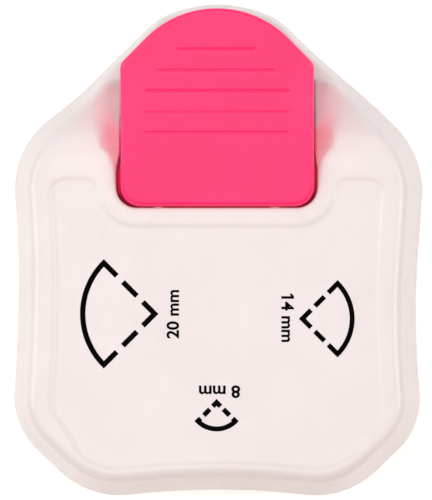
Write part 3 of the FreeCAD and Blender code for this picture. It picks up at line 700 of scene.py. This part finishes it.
class Surface:
    """A Principled material whose textures follow object coordinates."""

    def __init__(self, name):
        self.material = bpy.data.materials.new(name)
        self.material.use_nodes = True
        self.tree = self.material.node_tree
        self.link = self.tree.links.new
        self.shader = self.tree.nodes["Principled BSDF"]
        self.coordinates = self.new("ShaderNodeTexCoord").outputs["Object"]

    def new(self, kind, **inputs):
        node = self.tree.nodes.new(kind)
        for name, value in inputs.items():
            node.inputs[name].default_value = value
        return node

    def set(self, **inputs):
        for name, value in inputs.items():
            self.shader.inputs[name.replace("_", " ")].default_value = value

    def noise(self, scale, detail, roughness=0.5, stretch=None):
        node = self.new("ShaderNodeTexNoise", Scale=scale, Detail=detail, Roughness=roughness)
        source = self.coordinates
        if stretch:
            mapping = self.new("ShaderNodeMapping", Scale=stretch)
            self.link(source, mapping.inputs["Vector"])
            source = mapping.outputs["Vector"]
        self.link(source, node.inputs["Vector"])
        return node.outputs["Fac"]

    def contrast(self, value, target=(0.0, 1.0)):
        """Middle of a noise's range spread over the target range."""
        return map_range(self.tree, value, (0.35, 0.65), target)

    def colour(self, noise, first, second):
        mixed = mix_colours(self.tree, self.contrast(noise), first, second)
        self.link(mixed, self.shader.inputs["Base Color"])

    def roughness(self, noise, low, high):
        self.link(self.contrast(noise, (low, high)), self.shader.inputs["Roughness"])

    def bump(self, height, strength, distance, bevel):
        node = self.new("ShaderNodeBump", Strength=strength, Distance=distance)
        self.link(height, node.inputs["Height"])
        if bevel:
            rounding = self.new("ShaderNodeBevel", Radius=bevel)
            rounding.samples = 4
            self.link(rounding.outputs["Normal"], node.inputs["Normal"])
        self.link(node.outputs["Normal"], self.shader.inputs["Normal"])


def plastic(name, first, second, rough, grain=9000.0, bump=0.10, bevel=0.0, **shader):
    """Moulded plastic: two mixed shades, grain noise scale, bevel radius in metres."""
    s = Surface(name)
    s.colour(s.noise(scale=45.0, detail=2.0), first, second)
    s.roughness(s.noise(scale=420.0, detail=3.0), rough - 0.05, rough + 0.06)
    fine = s.noise(scale=grain, detail=2.0, roughness=0.6)
    s.bump(fine, strength=bump, distance=0.00006, bevel=bevel)
    s.set(IOR=1.5, **shader)
    return s.material


def metal(name, first, second, rough, scale, stretch=(1, 1, 1), bevel=0.00012):
    """Bare metal: streak noise drives shade, roughness and bump."""
    s = Surface(name)
    s.set(Metallic=1.0)
    streak = s.noise(scale, detail=4.0, roughness=0.6, stretch=stretch)
    s.colour(streak, first, second)
    s.roughness(streak, rough - 0.08, rough + 0.10)
    s.bump(streak, strength=0.15, distance=0.00003, bevel=bevel)
    return s.material


cover_white = plastic(
    "white_abs_mat", (0.800, 0.740, 0.748), (0.780, 0.716, 0.722), rough=0.36,
    Coat_Weight=0.15, Coat_Roughness=0.25, Subsurface_Weight=0.08,
    Subsurface_Radius=(0.0016, 0.0011, 0.0009), Subsurface_Scale=1.0)
SLOT_MATERIALS = {
    "white_abs": plastic("white_abs_lower_mat", (0.790, 0.718, 0.698), (0.765, 0.690, 0.668),
                         rough=0.40, bevel=0.0003),
    # painted glow: the emission makes the pink plastic glow faintly, standing in for light
    # carried through and bounced off its thin walls
    "pink_abs": plastic("pink_abs_painted_glow_mat", srgb(255, 36, 114), srgb(255, 32, 109), rough=0.40,
                        Coat_Weight=0.1, Coat_Roughness=0.25,
                        Emission_Color=(1.0, 0.03, 0.08, 1), Emission_Strength=0.09),
    "grey_abs": plastic("grey_abs_mat", srgb(205, 205, 208), srgb(196, 196, 200), rough=0.45,
                        bevel=0.0003, bump=0.3),
    "nylon_natural": plastic("nylon_mat", srgb(236, 232, 218), srgb(226, 221, 205), rough=0.5,
                             bevel=0.0002),
    "black_ink": plastic("black_ink_mat", srgb(7, 6, 6), srgb(12, 11, 11), rough=0.7,
                         grain=16000.0, bump=0.05, Specular_IOR_Level=0.0),
    "rubber_black": plastic("rubber_mat", srgb(38, 38, 39), srgb(30, 30, 31), rough=0.8,
                            grain=5000.0, bump=0.5, bevel=0.0004),
    "ground_tool_steel": metal("ground_tool_steel_mat", (0.50, 0.50, 0.51), (0.62, 0.62, 0.63),
                               rough=0.28, scale=900.0, stretch=(1, 14, 1)),
    "zinc_steel": metal("zinc_steel_mat", (0.58, 0.60, 0.63), (0.70, 0.71, 0.72),
                        rough=0.34, scale=500.0),
    "polished_steel": metal("polished_steel_mat", (0.64, 0.64, 0.65), (0.74, 0.74, 0.75),
                            rough=0.16, scale=1200.0, stretch=(1, 1, 10)),
    "spring_steel": metal("spring_steel_mat", (0.38, 0.39, 0.41), (0.50, 0.51, 0.53),
                          rough=0.26, scale=1500.0, bevel=0.0),
    "screw_steel": metal("screw_steel_mat", (0.55, 0.55, 0.57), (0.68, 0.68, 0.69),
                         rough=0.30, scale=1400.0),
    "bronze": metal("bronze_mat", (0.50, 0.33, 0.16), (0.62, 0.43, 0.22),
                    rough=0.42, scale=2500.0),
}
for part in frame["record"]["subparts"]:
    slots = frame["nodes"][part["node"]].data.materials
    slots.clear()
    slots.append(SLOT_MATERIALS[part["material_slot"]])

cover.data.materials.append(cover_white)
base.data.materials.append(SLOT_MATERIALS["white_abs"])
pad.data.materials.append(SLOT_MATERIALS["pink_abs"])
for mark in marks:
    mark.data.materials.append(SLOT_MATERIALS["black_ink"])

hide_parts("top_cover")
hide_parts("base_shell")
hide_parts("thumb_lever")
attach(cover, "housing")
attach(base, "housing")
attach(pad, "lever")
for mark in marks:
    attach(mark, "housing")


# ---------------------------------------------------------------- stage, light, camera (metres)
def floor_material():
    """Near white to the camera, warm to bounced light, clear from below."""
    s = Surface("floor_mat")
    s.set(Roughness=0.9, Emission_Color=(1, 1, 1, 1), Emission_Strength=0.30,
          Specular_IOR_Level=0.1)
    s.colour(s.noise(scale=1.5, detail=2.0), (0.93, 0.93, 0.93), (0.91, 0.91, 0.91))
    camera_ray = s.new("ShaderNodeLightPath").outputs["Is Camera Ray"]
    warm = s.new("ShaderNodeBsdfDiffuse", Color=(0.80, 0.62, 0.56, 1))
    clear = s.new("ShaderNodeBsdfTransparent")
    below = s.new("ShaderNodeNewGeometry").outputs["Backfacing"]

    def mix(factor, first, second):
        node = s.new("ShaderNodeMixShader")
        for socket, source in enumerate((factor, first, second)):
            s.link(source, node.inputs[socket])
        return node.outputs["Shader"]

    seen = map_range(s.tree, camera_ray, (0.0, 1.0), (0.80, 1.0))
    top = mix(seen, warm.outputs["BSDF"], s.shader.outputs["BSDF"])
    surface = mix(below, top, clear.outputs["BSDF"])
    s.link(surface, s.tree.nodes["Material Output"].inputs["Surface"])
    return s.material


def build_world():
    """White room, warmer at the front."""
    world = bpy.data.worlds.new("studio")
    world.use_nodes = True
    tree = world.node_tree
    background = tree.nodes["Background"]
    coordinates = tree.nodes.new("ShaderNodeTexCoord")
    split = tree.nodes.new("ShaderNodeSeparateXYZ")
    tree.links.new(coordinates.outputs["Generated"], split.inputs["Vector"])
    towards_rear = split.outputs["Y"]
    colour = mix_colours(tree, map_range(tree, towards_rear, (-0.75, 0.05), (0.0, 1.0)),
                         first=(0.57, 0.35, 0.26), second=(1.0, 0.985, 0.97))
    tree.links.new(colour, background.inputs["Color"])
    strength = map_range(tree, towards_rear, (0.1, 0.9), (0.47, 0.28))
    tree.links.new(strength, background.inputs["Strength"])
    scene.world = world


def add_light(kind, name, place, target, watts, colour, **shape):
    light = bpy.data.lights.new(name, kind)
    light.energy = watts
    light.color = colour
    for key, value in shape.items():
        setattr(light, key, value)
    ob = add_object(name, light)
    ob.location = place
    ob.rotation_euler = (Vector(target) - Vector(place)).to_track_quat("-Z", "Y").to_euler()


def build_camera(eye, aim, lens):
    """Camera with the rear of the body (+Y) at the top of its view."""
    data = bpy.data.cameras.new("camera")
    cam = add_object("camera", data)
    data.sensor_width = 36.0
    data.lens = lens
    data.clip_start, data.clip_end = 0.01, 10.0
    back = (eye - aim).normalized()
    right = Vector((0.0, 1.0, 0.0)).cross(back).normalized()
    up = back.cross(right)
    cam.matrix_world = Matrix((*zip(right, up, back, eye), (0, 0, 0, 1)))
    scene.camera = cam


floor_mesh = bpy.data.meshes.new("floor")
floor_mesh.from_pydata([(-3, -3, 0), (3, -3, 0), (3, 3, 0), (-3, 3, 0)], [], [(0, 1, 2, 3)])
floor = add_object("floor", floor_mesh)
floor_mesh.materials.append(floor_material())
build_world()
scene.cycles.max_bounces = 14
scene.cycles.diffuse_bounces = 8

WHITE, BLUSH = (1, 1, 1), (1.0, 0.62, 0.66)
# name, place, size, watts, colour
SOFTBOXES = [
    ("left", (-0.95, 0.05, 0.95), (0.5, 1.0), 8.1, (0.94, 1.0, 0.97)),
    ("right", (0.90, 0.0, 0.95), (0.4, 0.9), 6.1, WHITE),
    ("rear", (0.0, 0.85, 1.10), (0.9, 0.4), 0.9, WHITE),
    ("front", (-0.1, -0.55, 1.35), (0.8, 0.3), 1.7, (1.0, 0.78, 0.66)),
    ("over", (-0.10, 0.0, 1.45), (0.4, 0.4), 2.1, WHITE),
]
for name, place, (width, depth), watts, colour in SOFTBOXES:
    add_light("AREA", name, place, (0, 0, 0.02), watts, colour,
              shape="RECTANGLE", size=width, size_y=depth)

# narrow lamps on the lever's sides and the ears: name, place, target, watts, cone, colour
SPOTS = [
    ("left_low", (-0.62, 0.034, 0.32), (-0.0247, 0.030, 0.042), 5.0, 1.7, WHITE),
    ("right_low", (0.62, 0.034, 0.32), (0.0247, 0.030, 0.042), 4.0, 1.7, WHITE),
    ("left_ear", (-0.12, 0.10, 0.70), (-0.0252, 0.0385, 0.0335), 8.0, 1.25, BLUSH),
    ("right_ear", (0.12, 0.10, 0.70), (0.0254, 0.0385, 0.0335), 6.5, 1.25, BLUSH),
]
for name, place, target, watts, cone, colour in SPOTS:
    add_light("SPOT", name, place, target, watts, colour,
              spot_size=math.radians(cone), spot_blend=0.9, shadow_soft_size=0.006)

build_camera(eye=Vector((0.01482, 0.0, 1.242)), aim=Vector((-0.00018, 0.0, 0.040)), lens=336.6)
scene.view_settings.view_transform = "Standard"
scene.view_settings.look = "None"
